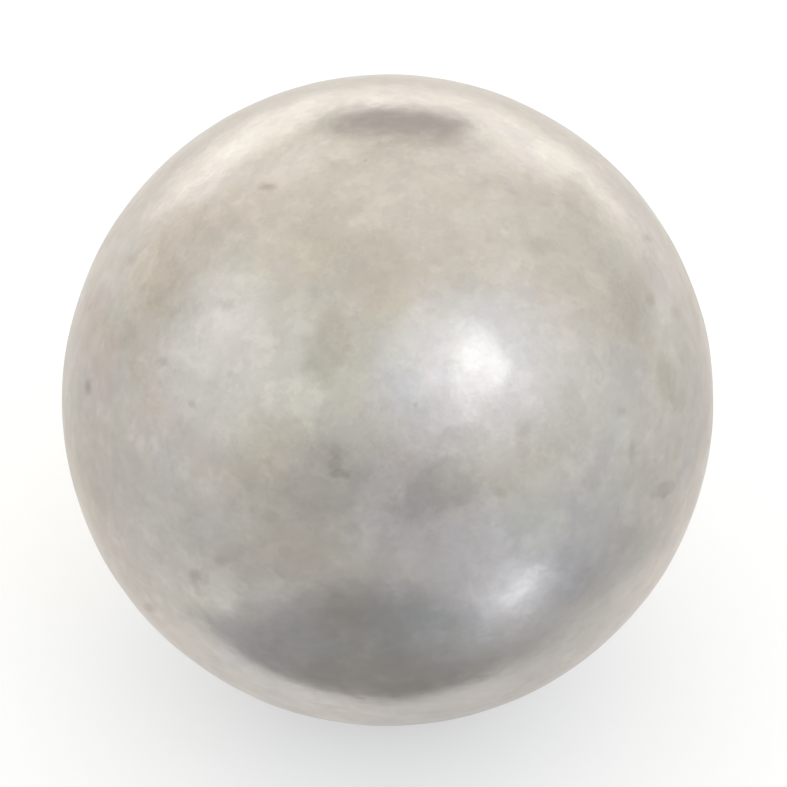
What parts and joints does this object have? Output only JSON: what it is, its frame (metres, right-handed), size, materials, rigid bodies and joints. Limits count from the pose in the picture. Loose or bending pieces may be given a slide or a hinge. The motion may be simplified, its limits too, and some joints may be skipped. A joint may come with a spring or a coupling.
{
  "type": "petanque boule",
  "caption": "Hollow smooth steel ball for throwing on gravel: forged half-shells joined by a flush-turned weld round the equator, with a sealed cavity.",
  "frame": {"origin": "centre of the ball", "axes": "+Z through the pole of the upper half-shell, square to the weld; the weld lies in the XY plane, and the ball is a body of revolution about Z, apart from the weld ripples inside"},
  "size_m": [0.073, 0.073, 0.073],
  "materials": {
    "worn_steel": "polished steel worn to a cloudy satin",
    "weld_metal": "as-welded, grey"
  },
  "bodies": {
    "root": {"upper_half_shell": "worn_steel", "lower_half_shell": "worn_steel", "weld_cap_pass": "worn_steel", "weld_root_pass": "weld_metal"}
  },
  "joints": []
}
